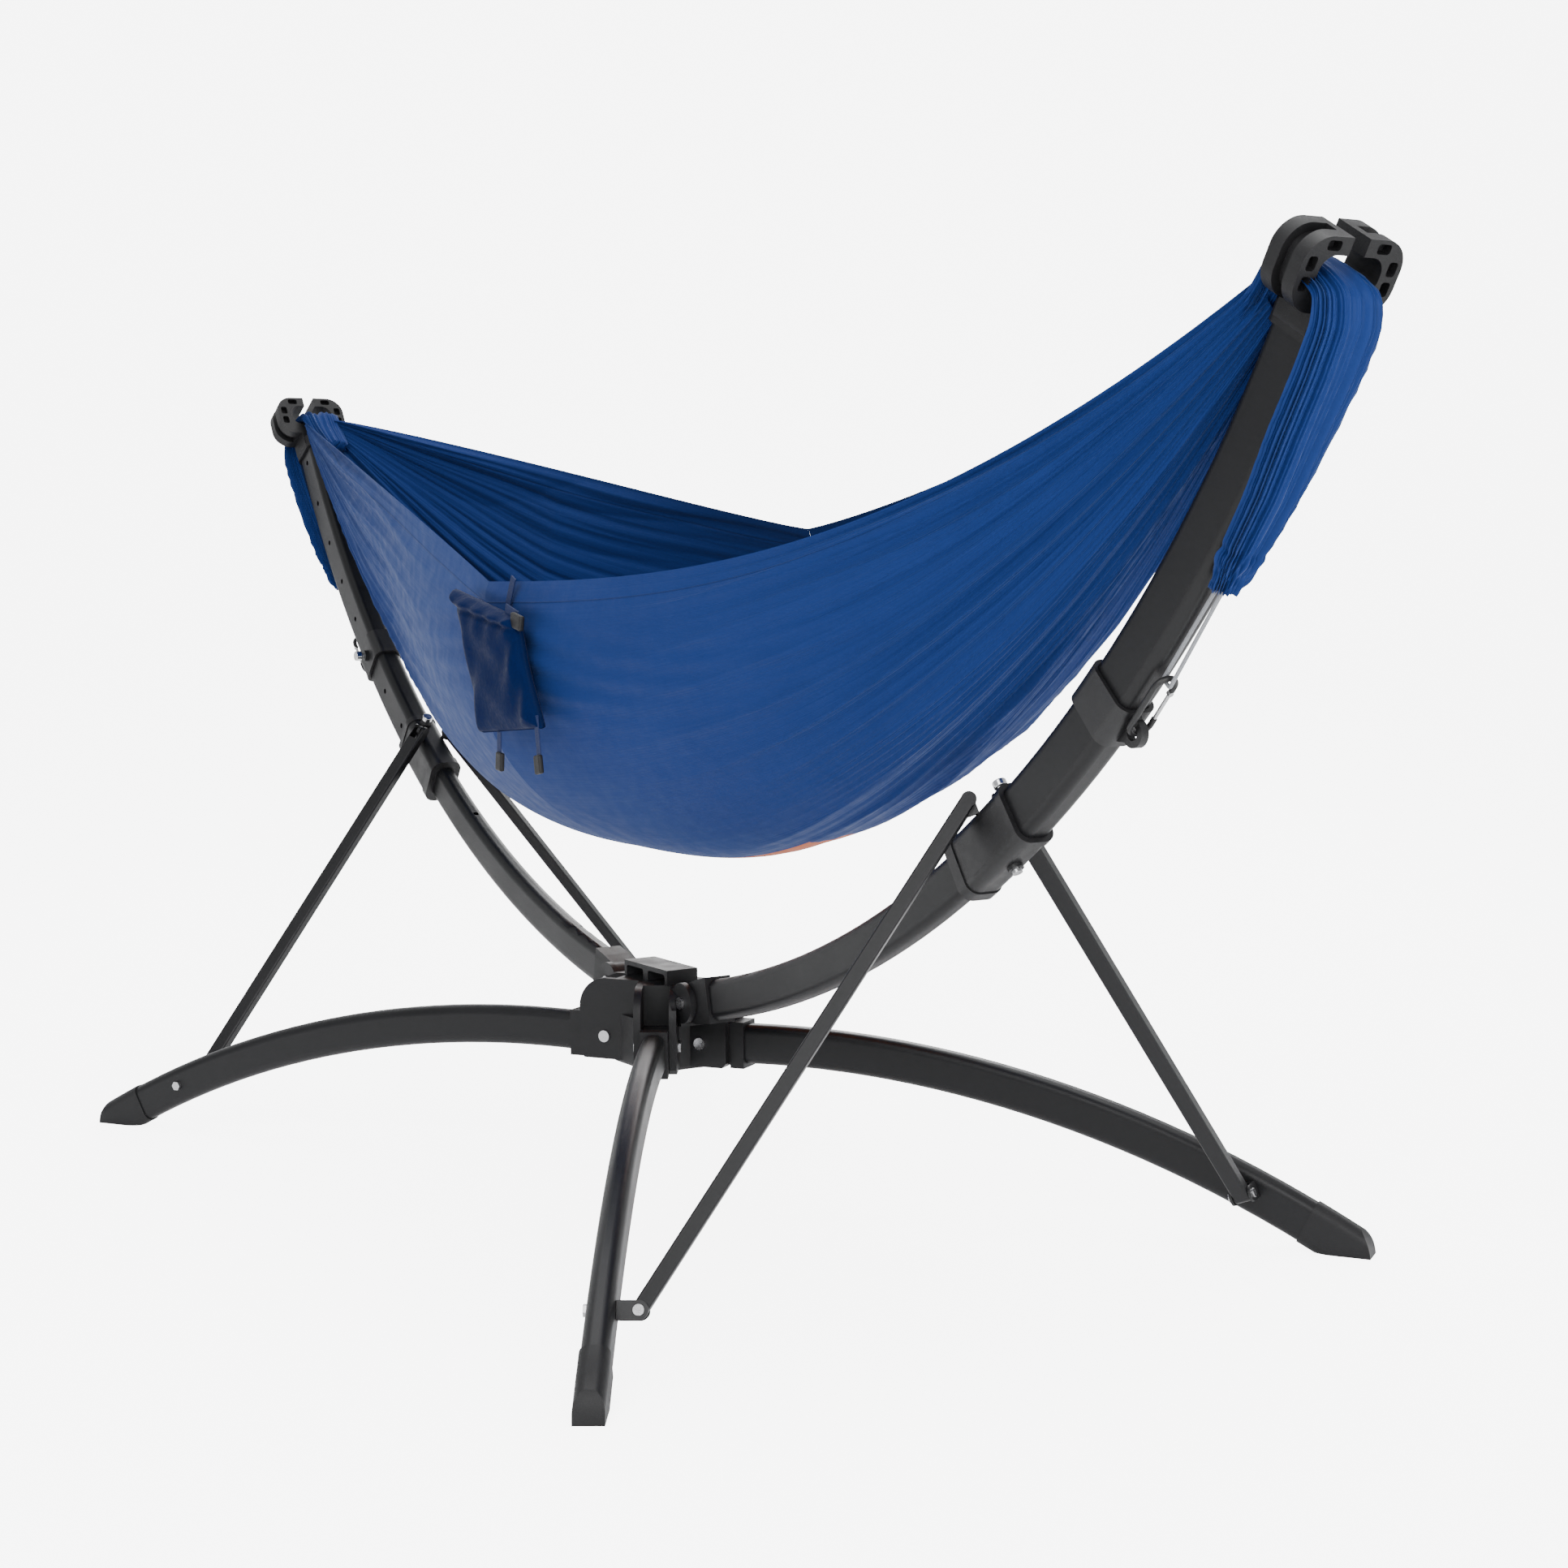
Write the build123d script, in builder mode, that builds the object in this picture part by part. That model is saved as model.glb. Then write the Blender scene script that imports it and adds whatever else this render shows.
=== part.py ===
"""Folding hammock stand with a fabric hammock.

Two curved masts rise from a central hub, four curved legs brace it, and four
struts tie the legs to the masts. X runs along the masts, Z is up, the origin is
on the floor under the hub. Sizes are in millimetres. Every right-hand mast piece
is made once and turned half round Z for the left; every leg piece is made for the
front right leg and copied to the other three corners.
"""

from build123d import *
from math import asin, cos, degrees, pi, radians, sin, sqrt, tan
import os

os.makedirs("parts", exist_ok=True)

# Masts: both follow one arc in the plane Y = 0
MAST_CENTRE_X = -155.2
MAST_CENTRE_Z = 1738.9
MAST_RADIUS = 1513.4
LOWER_SECTION = (28.0, 50.0)
UPPER_SECTION = (36.0, 60.0)
SECTION_ROUND = 11.0
TUBE_WALL = 2.0
MAST_PIVOT_ANGLE = 9.63
LOWER_START = 10.7
LOWER_END = 38.0
UPPER_START = 33.45
UPPER_END = 60.2
HOLE_PITCH = 3.0
HOLE_RADIUS = 4.0

# Legs: an arc in a vertical plane at LEG_PLAN_ANGLE from X
LEG_PLAN_ANGLE = 33.4
LEG_CENTRE_R = 177.7
LEG_CENTRE_Z = -1252.0
LEG_RADIUS = 1440.3
LEG_SECTION = (28.0, 50.0)
LEG_PIVOT_R = 68.0
LEG_PIVOT_Z = 187.4
LEG_TUBE_START = 107.0
LEG_TUBE_END = 838.0
FOOT_TIP_R = 902.0

# Struts, from a bracket on the leg to a lug on the mast collar
BRACKET_R = 761.0
BRACKET_REACH = 36.0
STRUT_PIN_ANGLE = 35.4
STRUT_PIN_INWARD = 46.0
STRUT_PIN_SIDE = 22.0
STRUT_WIDTH = 19.0
STRUT_DEPTH = 16.0
LUG_THICKNESS = 4.5

# Pins and clearances
PIVOT_RADIUS = 5.0
SMALL_PIN_RADIUS = 3.0
RUNNING = 0.06
SIDE_GAP = 0.5

# Collars
COLLAR_START = 33.4
COLLAR_END = 37.3
LOCK_PIN_ANGLE = 36.55
RING_PIN_ANGLE = 44.0
RING_START = 43.1
RING_END = 44.9
EYELET_OUTWARD = 43.5

# Hammock
FABRIC = 4.0
NECK_X = 1110.0


def save(shape, name):
    """Label one sub-part and write it as its own STEP file."""
    shape.label = name
    export_step(shape, f"parts/{name}.step")


def mast_point(angle, inward=0.0, side=0.0):
    """A point on the right mast at an arc angle, moved in towards the arc's centre."""
    reach = MAST_RADIUS - inward
    turn = radians(angle)
    return Vector(MAST_CENTRE_X + reach * sin(turn), side, MAST_CENTRE_Z - reach * cos(turn))


def mast_plane(angle):
    """Cross-section plane of the right mast: x across (world Y), y inward, z along."""
    turn = radians(angle)
    return Plane(origin=mast_point(angle), x_dir=(0, 1, 0), z_dir=(cos(turn), 0, sin(turn)))


def inward_plane(angle, inward):
    """Plane facing the arc's centre, for bosses on the mast's inner or outer face."""
    turn = radians(angle)
    return Plane(origin=mast_point(angle, inward), x_dir=(0, 1, 0), z_dir=(-sin(turn), 0, cos(turn)))


MAST_AXIS = Axis((MAST_CENTRE_X, 0, MAST_CENTRE_Z), (0, -1, 0))
LEG_AXIS = Axis((LEG_CENTRE_R, 0, LEG_CENTRE_Z), (0, 1, 0))


def leg_angle(radius):
    return degrees(asin((radius - LEG_CENTRE_R) / LEG_RADIUS))


def leg_height(radius):
    return LEG_CENTRE_Z + sqrt(LEG_RADIUS**2 - (radius - LEG_CENTRE_R) ** 2)


def leg_plane(radius):
    """Cross-section plane of a leg that runs along +X: x across, y outward, z along."""
    turn = radians(leg_angle(radius))
    return Plane(
        origin=(radius, 0, leg_height(radius)), x_dir=(0, 1, 0), z_dir=(cos(turn), 0, -sin(turn))
    )


def mast_copies(piece):
    return {"right": piece, "left": piece.rotate(Axis.Z, 180)}


def corner_copies(front_right):
    """A piece made in place for the front right leg, copied to all four corners."""
    back_right = front_right.mirror(Plane.XZ)
    return {
        "front_right": front_right,
        "back_right": back_right,
        "back_left": front_right.rotate(Axis.Z, 180),
        "front_left": back_right.rotate(Axis.Z, 180),
    }


def leg_copies(along_x):
    """A piece made on a leg along +X, bracket side at +Y, copied to all four corners."""
    return corner_copies(along_x.rotate(Axis.Z, -LEG_PLAN_ANGLE))


def save_masts(piece, name):
    for side, copy in mast_copies(piece).items():
        save(copy, f"{name}_{side}")


def save_corners(copies, name):
    for corner, copy in copies.items():
        save(copy, f"{name}_{corner}")


def arc_tube(plane, axis, sweep, section, wall, rounding=SECTION_ROUND):
    """A hollow rounded tube swept round an arc."""
    with BuildPart() as tube:
        with BuildSketch(plane):
            RectangleRounded(*section, rounding)
            if wall:
                RectangleRounded(section[0] - 2 * wall, section[1] - 2 * wall, rounding - wall, mode=Mode.SUBTRACT)
        revolve(axis=axis, revolution_arc=sweep)
    return tube.part


def mast_sleeve(start, end, outer, inner, rounding):
    """A sleeve on the mast between two arc angles."""
    with BuildPart() as sleeve:
        with BuildSketch(mast_plane(start)):
            RectangleRounded(*outer, rounding)
            RectangleRounded(*inner, SECTION_ROUND, mode=Mode.SUBTRACT)
        revolve(axis=MAST_AXIS, revolution_arc=end - start)
    return sleeve.part


# ---------------------------------------------------------------- strut geometry
along = Vector(cos(radians(LEG_PLAN_ANGLE)), -sin(radians(LEG_PLAN_ANGLE)), 0)
to_mast = Vector(sin(radians(LEG_PLAN_ANGLE)), cos(radians(LEG_PLAN_ANGLE)), 0)
bracket_pin_point = (
    along * BRACKET_R + to_mast * BRACKET_REACH + Vector(0, 0, leg_height(BRACKET_R))
)
strut_pin_point = mast_point(STRUT_PIN_ANGLE, STRUT_PIN_INWARD, -STRUT_PIN_SIDE)
strut_line = strut_pin_point - bracket_pin_point
STRUT_LENGTH = strut_line.length
strut_dir = strut_line.normalized()
pin_dir = strut_dir.cross(to_mast).normalized()
strut_plane = Plane(origin=bracket_pin_point, x_dir=pin_dir, z_dir=strut_dir)
bracket_plane = Plane(origin=bracket_pin_point, x_dir=to_mast, z_dir=pin_dir)

# ---------------------------------------------------------------- hub
HUB_BOTTOM = 158.0
FORK_TOP = 217.0
SHOULDER_TOP = 262.0
SHOULDER_ROUND = 38.0
BRIDGE_TOP = 281.0
LEG_SLOT = 35.0
LEG_FORK = 53.0
LEG_FORK_END = 104.0
MAST_SLOT = 37.0
MAST_FORK = 52.0
SPOT_FACE_RADIUS = 8.6
mast_pivot = mast_point(MAST_PIVOT_ANGLE)
LEG_ANGLES = (LEG_PLAN_ANGLE, -LEG_PLAN_ANGLE, 180 - LEG_PLAN_ANGLE, 180 + LEG_PLAN_ANGLE)


def leg_side_plane(angle, offset):
    """Vertical plane along a leg, facing sideways, with x outward and y up."""
    turn = radians(angle)
    across = Vector(-sin(turn), cos(turn), 0)
    return Plane(origin=across * offset, x_dir=(cos(turn), sin(turn), 0), z_dir=-across)


with BuildPart() as hub_body:
    for angle in LEG_ANGLES:
        with BuildSketch(leg_side_plane(angle, LEG_FORK / 2)):
            with BuildLine():
                Polyline(
                    (0, HUB_BOTTOM), (LEG_FORK_END - 6, HUB_BOTTOM), (LEG_FORK_END, HUB_BOTTOM + 6),
                    (LEG_FORK_END, SHOULDER_TOP - SHOULDER_ROUND),
                )
                CenterArc(
                    (LEG_FORK_END - SHOULDER_ROUND, SHOULDER_TOP - SHOULDER_ROUND), SHOULDER_ROUND, 0, 90
                )
                Polyline(
                    (LEG_FORK_END - SHOULDER_ROUND, SHOULDER_TOP), (0, SHOULDER_TOP), (0, HUB_BOTTOM)
                )
            make_face()
        extrude(amount=LEG_FORK)
    with BuildSketch(Plane.XZ.offset(-MAST_FORK / 2)):
        with Locations((mast_pivot.X, mast_pivot.Z), (-mast_pivot.X, mast_pivot.Z)):
            Circle(25)
        with Locations((0, (FORK_TOP + SHOULDER_TOP) / 2)):
            Rectangle(2 * mast_pivot.X, SHOULDER_TOP - FORK_TOP)
    extrude(amount=MAST_FORK)
    with BuildSketch(Plane.XY.offset(HUB_BOTTOM)):
        RectangleRounded(120, 92, 20)
    extrude(amount=FORK_TOP - HUB_BOTTOM)
    # leg pockets: a slot with a quarter-round relief in which the leg swings up
    for angle in LEG_ANGLES:
        with BuildSketch(leg_side_plane(angle, LEG_SLOT / 2)):
            with Locations((LEG_PIVOT_R, LEG_PIVOT_Z)):
                Circle(27)
            with BuildLine():
                Polyline(
                    (LEG_PIVOT_R - 14, LEG_PIVOT_Z + 14), (LEG_PIVOT_R - 14, SHOULDER_TOP + 30),
                    (LEG_FORK_END + 40, SHOULDER_TOP + 30), (LEG_FORK_END + 40, HUB_BOTTOM + 3),
                    (LEG_PIVOT_R, HUB_BOTTOM + 3), (LEG_PIVOT_R - 14, LEG_PIVOT_Z + 14),
                )
            make_face()
        extrude(amount=LEG_SLOT, mode=Mode.SUBTRACT)
    # mast slots, one at each end
    with BuildSketch(Plane.XZ.offset(-MAST_SLOT / 2)):
        for end in (1, -1):
            with Locations((end * mast_pivot.X, mast_pivot.Z)):
                Circle(26)
            with Locations((end * (mast_pivot.X + 30), mast_pivot.Z + 12)):
                Rectangle(70, 76)
    extrude(amount=MAST_SLOT, mode=Mode.SUBTRACT)
    # carrying bridge over the middle
    with BuildSketch(Plane.XZ.offset(-22)):
        with Locations((0, (SHOULDER_TOP + BRIDGE_TOP) / 2)):
            Rectangle(112, BRIDGE_TOP - SHOULDER_TOP)
        for middle in (-28, 28):
            with Locations((middle, SHOULDER_TOP + 6)):
                RectangleRounded(44, 14, 4, mode=Mode.SUBTRACT)
    extrude(amount=44)
    # bores for the leg and mast pivot bolts
    for angle in LEG_ANGLES:
        with BuildSketch(leg_side_plane(angle, 40)):
            with Locations((LEG_PIVOT_R, LEG_PIVOT_Z)):
                Circle(PIVOT_RADIUS)
        extrude(amount=80, mode=Mode.SUBTRACT)
    with BuildSketch(Plane.XZ.offset(-40)):
        with Locations((mast_pivot.X, mast_pivot.Z), (-mast_pivot.X, mast_pivot.Z)):
            Circle(PIVOT_RADIUS)
    extrude(amount=80, mode=Mode.SUBTRACT)
    # spot faces that keep the mast bolt heads clear of the leg ears
    for side in (1, -1):
        with BuildSketch(Plane.XZ.offset(side * MAST_FORK / 2)):
            with Locations((mast_pivot.X, mast_pivot.Z), (-mast_pivot.X, mast_pivot.Z)):
                Circle(SPOT_FACE_RADIUS)
        extrude(amount=side * 12, mode=Mode.SUBTRACT)
save(hub_body.part, "hub_body")

with BuildPart() as hub_base_plate:
    with BuildSketch(Plane.XY.offset(HUB_BOTTOM - 4)):
        RectangleRounded(116, 88, 18)
        with GridLocations(88, 60, 2, 2):
            Circle(2.6, mode=Mode.SUBTRACT)
    extrude(amount=4)
save(hub_base_plate.part, "hub_base_plate")

BOLT_HEAD = 3.0
with BuildPart() as hub_bolts:
    for angle in LEG_ANGLES:
        half = LEG_FORK / 2
        with BuildSketch(leg_side_plane(angle, half)):
            with Locations((LEG_PIVOT_R, LEG_PIVOT_Z)):
                Circle(PIVOT_RADIUS)
        extrude(amount=LEG_FORK)
        with BuildSketch(leg_side_plane(angle, half + BOLT_HEAD), leg_side_plane(angle, -half)):
            with Locations((LEG_PIVOT_R, LEG_PIVOT_Z)):
                Circle(7.5)
        extrude(amount=BOLT_HEAD)
    for end in (1, -1):
        with BuildSketch(Plane.XZ.offset(-MAST_FORK / 2)):
            with Locations((end * mast_pivot.X, mast_pivot.Z)):
                Circle(PIVOT_RADIUS)
        extrude(amount=MAST_FORK)
        for face in (-MAST_FORK / 2 - BOLT_HEAD, MAST_FORK / 2):
            with BuildSketch(Plane.XZ.offset(face)):
                with Locations((end * mast_pivot.X, mast_pivot.Z)):
                    Circle(7.5)
            extrude(amount=BOLT_HEAD)
    with BuildSketch(Plane.XY.offset(HUB_BOTTOM - 6.5)):
        with GridLocations(88, 60, 2, 2):
            Circle(5)
    extrude(amount=2.5)
    with BuildSketch(Plane.XY.offset(HUB_BOTTOM - 4)):
        with GridLocations(88, 60, 2, 2):
            Circle(2.6)
    extrude(amount=4)
save(hub_bolts.part, "hub_bolts")

# ---------------------------------------------------------------- legs
leg_outer = arc_tube(
    leg_plane(LEG_TUBE_START), LEG_AXIS, leg_angle(LEG_TUBE_END) - leg_angle(LEG_TUBE_START), LEG_SECTION, 0
)

with BuildPart() as leg_tube:
    add(arc_tube(
        leg_plane(LEG_TUBE_START), LEG_AXIS, leg_angle(LEG_TUBE_END) - leg_angle(LEG_TUBE_START),
        LEG_SECTION, TUBE_WALL,
    ))
    with BuildSketch(Plane.XZ.offset(-30)):
        with Locations((BRACKET_R, leg_height(BRACKET_R))):
            Circle(SMALL_PIN_RADIUS)
    extrude(amount=60, mode=Mode.SUBTRACT)
save_corners(leg_copies(leg_tube.part), "leg_tube")

# root knuckle: socket for the tube and the eye that turns on the hub's bolt
KNUCKLE_WIDTH = LEG_SLOT - 2 * SIDE_GAP
KNUCKLE_STEP = LEG_FORK_END + 1.5
KNUCKLE_END = 124.0
with BuildPart() as leg_knuckle:
    with BuildSketch(Plane.XZ.offset(-KNUCKLE_WIDTH / 2)):
        with Locations((LEG_PIVOT_R, LEG_PIVOT_Z)):
            Circle(25)
        with BuildLine():
            Polyline(
                (LEG_PIVOT_R, LEG_PIVOT_Z - 25), (LEG_PIVOT_R, LEG_PIVOT_Z + 25),
                (KNUCKLE_STEP, LEG_PIVOT_Z + 25), (KNUCKLE_STEP, LEG_PIVOT_Z + 28.5),
                (KNUCKLE_END, LEG_PIVOT_Z + 28.5), (KNUCKLE_END, LEG_PIVOT_Z - 30),
                (KNUCKLE_STEP, LEG_PIVOT_Z - 30), (KNUCKLE_STEP, LEG_PIVOT_Z - 25),
                (LEG_PIVOT_R, LEG_PIVOT_Z - 25),
            )
        make_face()
    extrude(amount=KNUCKLE_WIDTH)
    add(leg_outer, mode=Mode.SUBTRACT)
    with BuildSketch(Plane.XZ.offset(-30)):
        with Locations((LEG_PIVOT_R, LEG_PIVOT_Z)):
            Circle(PIVOT_RADIUS + RUNNING)
    extrude(amount=60, mode=Mode.SUBTRACT)
save_corners(leg_copies(leg_knuckle.part), "leg_knuckle")

FOOT_START = 828.0
FOOT_COVER = 3.0
with BuildPart() as leg_foot:
    with BuildSketch(leg_plane(FOOT_START)):
        RectangleRounded(LEG_SECTION[0] + FOOT_COVER, LEG_SECTION[1] + FOOT_COVER, SECTION_ROUND + 1)
    revolve(axis=LEG_AXIS, revolution_arc=7.0)
    with BuildSketch(Plane.XZ.offset(-40)):
        with BuildLine():
            Line((FOOT_START - 60, 0), (FOOT_TIP_R, 0))
            ThreePointArc((FOOT_TIP_R, 0), (FOOT_TIP_R - 9, 26), (FOOT_TIP_R - 38, 47))
            Polyline((FOOT_TIP_R - 38, 47), (FOOT_START - 60, 130), (FOOT_START - 60, 0))
        make_face()
    extrude(amount=80, mode=Mode.INTERSECT)
    add(leg_outer, mode=Mode.SUBTRACT)
save_corners(leg_copies(leg_foot.part), "leg_foot")

# strut bracket: a U of steel plate that swivels on its bolt through the leg
BRACKET_PLATE = 3.0
BRACKET_INNER = STRUT_WIDTH + 2 * SIDE_GAP
BRACKET_BACK = BRACKET_REACH - LEG_SECTION[0] / 2 - SIDE_GAP
with BuildPart() as strut_bracket:
    with BuildSketch(bracket_plane.offset(-BRACKET_INNER / 2 - BRACKET_PLATE)):
        Circle(9.5)
        with Locations((-BRACKET_BACK / 2, 0)):
            Rectangle(BRACKET_BACK, 19)
    extrude(amount=BRACKET_INNER + 2 * BRACKET_PLATE)
    with BuildSketch(bracket_plane.offset(-BRACKET_INNER / 2)):
        with Locations((-BRACKET_BACK + BRACKET_PLATE + 20, 0)):
            Rectangle(40, 30)
    extrude(amount=BRACKET_INNER, mode=Mode.SUBTRACT)
    with BuildSketch(bracket_plane.offset(-20)):
        Circle(SMALL_PIN_RADIUS)
    extrude(amount=40, mode=Mode.SUBTRACT)
    with BuildSketch(Plane(origin=bracket_pin_point - to_mast * 40, z_dir=to_mast)):
        Circle(SMALL_PIN_RADIUS + RUNNING)
    extrude(amount=30, mode=Mode.SUBTRACT)
save_corners(corner_copies(strut_bracket.part), "strut_bracket")

with BuildPart() as bracket_pin:
    reach = BRACKET_INNER / 2 + BRACKET_PLATE
    with BuildSketch(bracket_plane.offset(-reach)):
        Circle(SMALL_PIN_RADIUS)
    extrude(amount=2 * reach)
    with BuildSketch(bracket_plane.offset(-reach - 2.5), bracket_plane.offset(reach)):
        Circle(5.5)
    extrude(amount=2.5)
save_corners(corner_copies(bracket_pin.part), "bracket_pin")

# swivel bolt: nut on the far face of the leg, head inside the bracket
HEAD_GAP = 0.1
with BuildPart() as swivel_bolt:
    near = BRACKET_REACH - BRACKET_BACK + BRACKET_PLATE + HEAD_GAP
    far = -LEG_SECTION[0] / 2
    centre = bracket_pin_point - to_mast * BRACKET_REACH
    with BuildSketch(Plane(origin=centre + to_mast * far, z_dir=to_mast)):
        Circle(SMALL_PIN_RADIUS)
    extrude(amount=near - far)
    with BuildSketch(Plane(origin=centre + to_mast * near, z_dir=to_mast)):
        Circle(6)
    extrude(amount=3)
    with BuildSketch(Plane(origin=centre + to_mast * (far - 5), z_dir=to_mast)):
        RegularPolygon(6.5, 6)
    extrude(amount=5)
save_corners(corner_copies(swivel_bolt.part), "swivel_bolt")

# ---------------------------------------------------------------- struts
FORK_DEPTH = 16.0
FORK_NEAR = -7.0
FORK_FAR = 5.3
END_RADIUS = 8.0
with BuildPart() as strut:
    with BuildSketch(strut_plane):
        RectangleRounded(STRUT_WIDTH, STRUT_DEPTH, 2.5)
    extrude(amount=STRUT_LENGTH)
    with BuildSketch(strut_plane.offset(22)):
        RectangleRounded(STRUT_WIDTH - 4, STRUT_DEPTH - 4, 1.5)
    extrude(amount=STRUT_LENGTH - 60, mode=Mode.SUBTRACT)
    for place in (0, STRUT_LENGTH):
        eye = Plane(
            origin=bracket_pin_point + strut_dir * place - pin_dir * STRUT_WIDTH / 2,
            x_dir=strut_dir, z_dir=pin_dir,
        )
        with BuildSketch(eye):
            Circle(END_RADIUS)
        extrude(amount=STRUT_WIDTH)
    with BuildSketch(strut_plane.offset(STRUT_LENGTH - FORK_DEPTH)):
        with Locations(((FORK_NEAR + FORK_FAR) / 2, 0)):
            Rectangle(FORK_FAR - FORK_NEAR, 40)
    extrude(amount=FORK_DEPTH + 20, mode=Mode.SUBTRACT)
    with BuildSketch(bracket_plane.offset(-20)):
        Circle(SMALL_PIN_RADIUS + RUNNING)
    extrude(amount=40, mode=Mode.SUBTRACT)
save_corners(corner_copies(strut.part), "strut")

# ---------------------------------------------------------------- masts
lower_outer = arc_tube(mast_plane(LOWER_START), MAST_AXIS, LOWER_END - LOWER_START, LOWER_SECTION, 0)
upper_outer = arc_tube(mast_plane(UPPER_START), MAST_AXIS, UPPER_END - UPPER_START, UPPER_SECTION, 0)

with BuildPart() as mast_knuckle:
    width = MAST_SLOT - 2 * SIDE_GAP
    with BuildSketch(Plane.XZ.offset(-width / 2)):
        with Locations((mast_pivot.X, mast_pivot.Z)):
            Circle(23.5)
        low = mast_point(11.6, -28.5)
        high = mast_point(11.6, 28.5)
        with BuildLine():
            Polyline(
                (mast_pivot.X, mast_pivot.Z - 23.5), (mast_pivot.X, mast_pivot.Z + 23.5),
                (mast_pivot.X + 22, mast_pivot.Z + 31), (high.X, high.Z), (low.X, low.Z),
                (mast_pivot.X + 24, mast_pivot.Z - 23.5), (mast_pivot.X, mast_pivot.Z - 23.5),
            )
        make_face()
    extrude(amount=width)
    add(lower_outer, mode=Mode.SUBTRACT)
    with BuildSketch(Plane.XZ.offset(-30)):
        with Locations((mast_pivot.X, mast_pivot.Z)):
            Circle(PIVOT_RADIUS + RUNNING)
    extrude(amount=60, mode=Mode.SUBTRACT)
save_masts(mast_knuckle.part, "mast_knuckle")

with BuildPart() as mast_lower_tube:
    add(arc_tube(mast_plane(LOWER_START), MAST_AXIS, LOWER_END - LOWER_START, LOWER_SECTION, TUBE_WALL))
    for angle in (LOCK_PIN_ANGLE, 28.3):
        with BuildSketch(inward_plane(angle, 10)):
            Circle(HOLE_RADIUS)
        extrude(amount=30, mode=Mode.SUBTRACT)
save_masts(mast_lower_tube.part, "mast_lower_tube")

with BuildPart() as mast_upper_tube:
    add(arc_tube(mast_plane(UPPER_START), MAST_AXIS, UPPER_END - UPPER_START, UPPER_SECTION, TUBE_WALL))
    with BuildSketch(inward_plane(LOCK_PIN_ANGLE, 20)):
        Circle(HOLE_RADIUS)
    extrude(amount=20, mode=Mode.SUBTRACT)
    for step in range(-2, 6):
        hole = mast_point(RING_PIN_ANGLE + HOLE_PITCH * step)
        with BuildSketch(Plane.XZ.offset(-24)):
            with Locations((hole.X, hole.Z)):
                Circle(HOLE_RADIUS)
        extrude(amount=12, mode=Mode.SUBTRACT)
save_masts(mast_upper_tube.part, "mast_upper_tube")

# strut collar: cast sleeve bolted to the upper tube, with the lugs for the struts
COLLAR_SECTION = (44.0, 68.0)
lug_down = Vector(sin(radians(STRUT_PIN_ANGLE)), 0, -cos(radians(STRUT_PIN_ANGLE)))
lug_down = (lug_down - pin_dir * lug_down.dot(pin_dir)).normalized()
with BuildPart() as strut_lug:
    with BuildSketch(Plane(origin=strut_pin_point, x_dir=lug_down, z_dir=pin_dir)):
        Circle(7)
        with Locations((8, 0)):
            Rectangle(16, 12)
    extrude(amount=LUG_THICKNESS / 2, both=True)

with BuildPart() as strut_collar:
    add(mast_sleeve(COLLAR_START, COLLAR_END, COLLAR_SECTION, UPPER_SECTION, 14))
    add(mast_sleeve(COLLAR_START - 0.55, COLLAR_START, (47, 71), LOWER_SECTION, 15))
    add(mast_sleeve(COLLAR_END - 0.35, COLLAR_END, (47, 71), UPPER_SECTION, 15))
    with BuildSketch(inward_plane(LOCK_PIN_ANGLE, 32)):
        Circle(8.5)
    extrude(amount=6)
    with BuildSketch(inward_plane(35.5, -38.5)):
        Circle(8.5)
    extrude(amount=6)
    add(strut_lug.part)
    add(strut_lug.part.mirror(Plane.XZ))
    add(upper_outer, mode=Mode.SUBTRACT)
    with BuildSketch(inward_plane(LOCK_PIN_ANGLE, 25)):
        Circle(HOLE_RADIUS)
    extrude(amount=20, mode=Mode.SUBTRACT)
    with BuildSketch(inward_plane(35.5, -40)):
        Circle(SMALL_PIN_RADIUS)
    extrude(amount=20, mode=Mode.SUBTRACT)
save_masts(strut_collar.part, "strut_collar")

with BuildPart() as collar_bolt:
    with BuildSketch(inward_plane(35.5, -38.5)):
        Circle(SMALL_PIN_RADIUS)
    extrude(amount=8)
    with BuildSketch(inward_plane(35.5, -42.5)):
        Circle(5.5)
    extrude(amount=4)
save_masts(collar_bolt.part, "collar_bolt")

with BuildPart() as lock_pin:
    with BuildSketch(inward_plane(LOCK_PIN_ANGLE, 21)):
        Circle(HOLE_RADIUS - 0.3)
    extrude(amount=19)
    with BuildSketch(inward_plane(LOCK_PIN_ANGLE, 38.4)):
        Circle(4.5)
    extrude(amount=4)
    with BuildSketch(inward_plane(LOCK_PIN_ANGLE, 42)):
        Circle(7.5)
    extrude(amount=8)
    fillet(lock_pin.edges().filter_by(GeomType.CIRCLE).filter_by(lambda e: e.radius > 7), 1.5)
save_masts(lock_pin.part, "lock_pin")

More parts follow.
